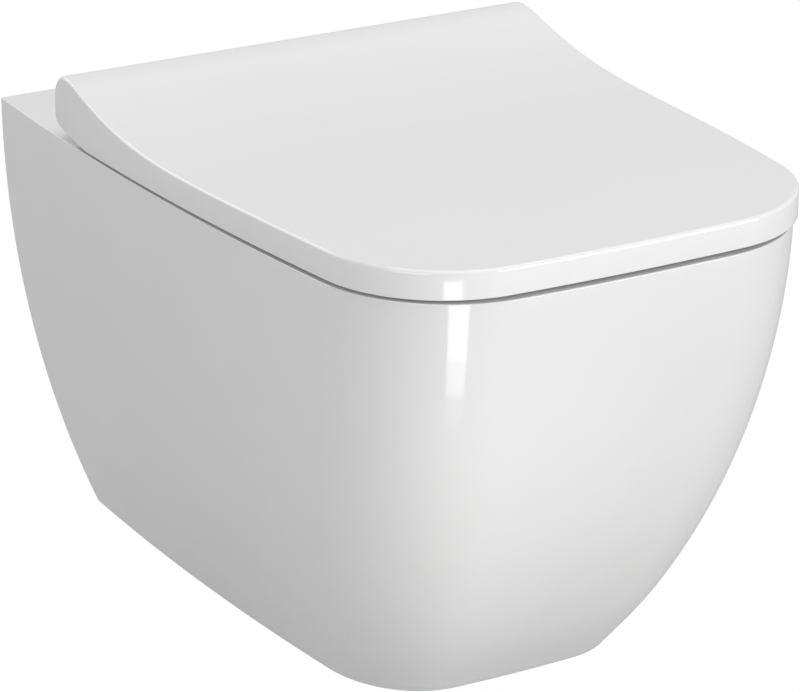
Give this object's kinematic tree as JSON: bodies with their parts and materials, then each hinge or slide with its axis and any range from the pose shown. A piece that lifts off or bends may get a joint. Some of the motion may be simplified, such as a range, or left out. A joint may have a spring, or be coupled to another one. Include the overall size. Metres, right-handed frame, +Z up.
{
  "type": "wall hung toilet",
  "caption": "Wall hung toilet with a curved closed skirt and a slim wave-shaped soft-close lid over a hinged, lift-off seat ring.",
  "frame": {"origin": "on the wall plane, midway between the two wall studs", "axes": "+Z up, +Y into the wall, the front faces -Y, +X to the right seen from the front"},
  "size_m": [0.369, 0.5398, 0.37],
  "materials": {
    "sanitary_ceramic": "glossy white glaze",
    "white_duroplast": "glossy moulded thermoset",
    "clear_rubber": "soft satin",
    "black_rubber": "matt",
    "white_nylon": "satin",
    "grey_plastic": "satin",
    "polished_chrome": "polished",
    "stainless_steel": "brushed",
    "zinc_steel": "zinc plated",
    "brass": "machined"
  },
  "bodies": {
    "pan": {"ceramic_pan": "sanitary_ceramic", "inlet_seal": "black_rubber", "stud_sleeves": "white_nylon", "stud_washers": "zinc_steel", "hinge_posts": "stainless_steel", "post_gaskets": "black_rubber", "post_screws": "stainless_steel", "anchor_sleeves": "black_rubber", "anchor_nuts": "brass"},
    "hinge_carrier": {"hinge_blocks": "polished_chrome", "hinge_pins": "stainless_steel", "button_springs": "stainless_steel"},
    "ring": {"seat_ring": "white_duroplast", "ring_buffers": "clear_rubber", "ring_damper": "grey_plastic", "ring_hinge_bush": "white_nylon"},
    "lid": {"seat_lid": "white_duroplast", "lid_buffers": "clear_rubber", "lid_damper": "grey_plastic", "lid_hinge_bush": "white_nylon"},
    "button_left": {"release_button_left": "grey_plastic"},
    "button_right": {"release_button_right": "grey_plastic"}
  },
  "joints": [
    {"name": "seat_lift_off", "type": "slide", "parent": "pan", "child": "hinge_carrier", "axis": [0, 0, 1], "range_m": [0, 0.03]},
    {"name": "ring_hinge", "type": "hinge", "parent": "hinge_carrier", "child": "ring", "pos_m": [0, -0.122, 0.103], "axis": [-1, 0, 0], "range_deg": [0, 95]},
    {"name": "lid_hinge", "type": "hinge", "parent": "ring", "child": "lid", "pos_m": [0, -0.122, 0.103], "axis": [1, 0, 0], "range_deg": [-98, 0]},
    {"name": "left_button_press", "type": "slide", "parent": "hinge_carrier", "child": "button_left", "axis": [0, 1, 0], "range_m": [0, 0.003], "stiffness_N_per_m": 600},
    {"name": "right_button_press", "type": "slide", "parent": "hinge_carrier", "child": "button_right", "axis": [0, 1, 0], "range_m": [0, 0.003], "stiffness_N_per_m": 600}
  ]
}
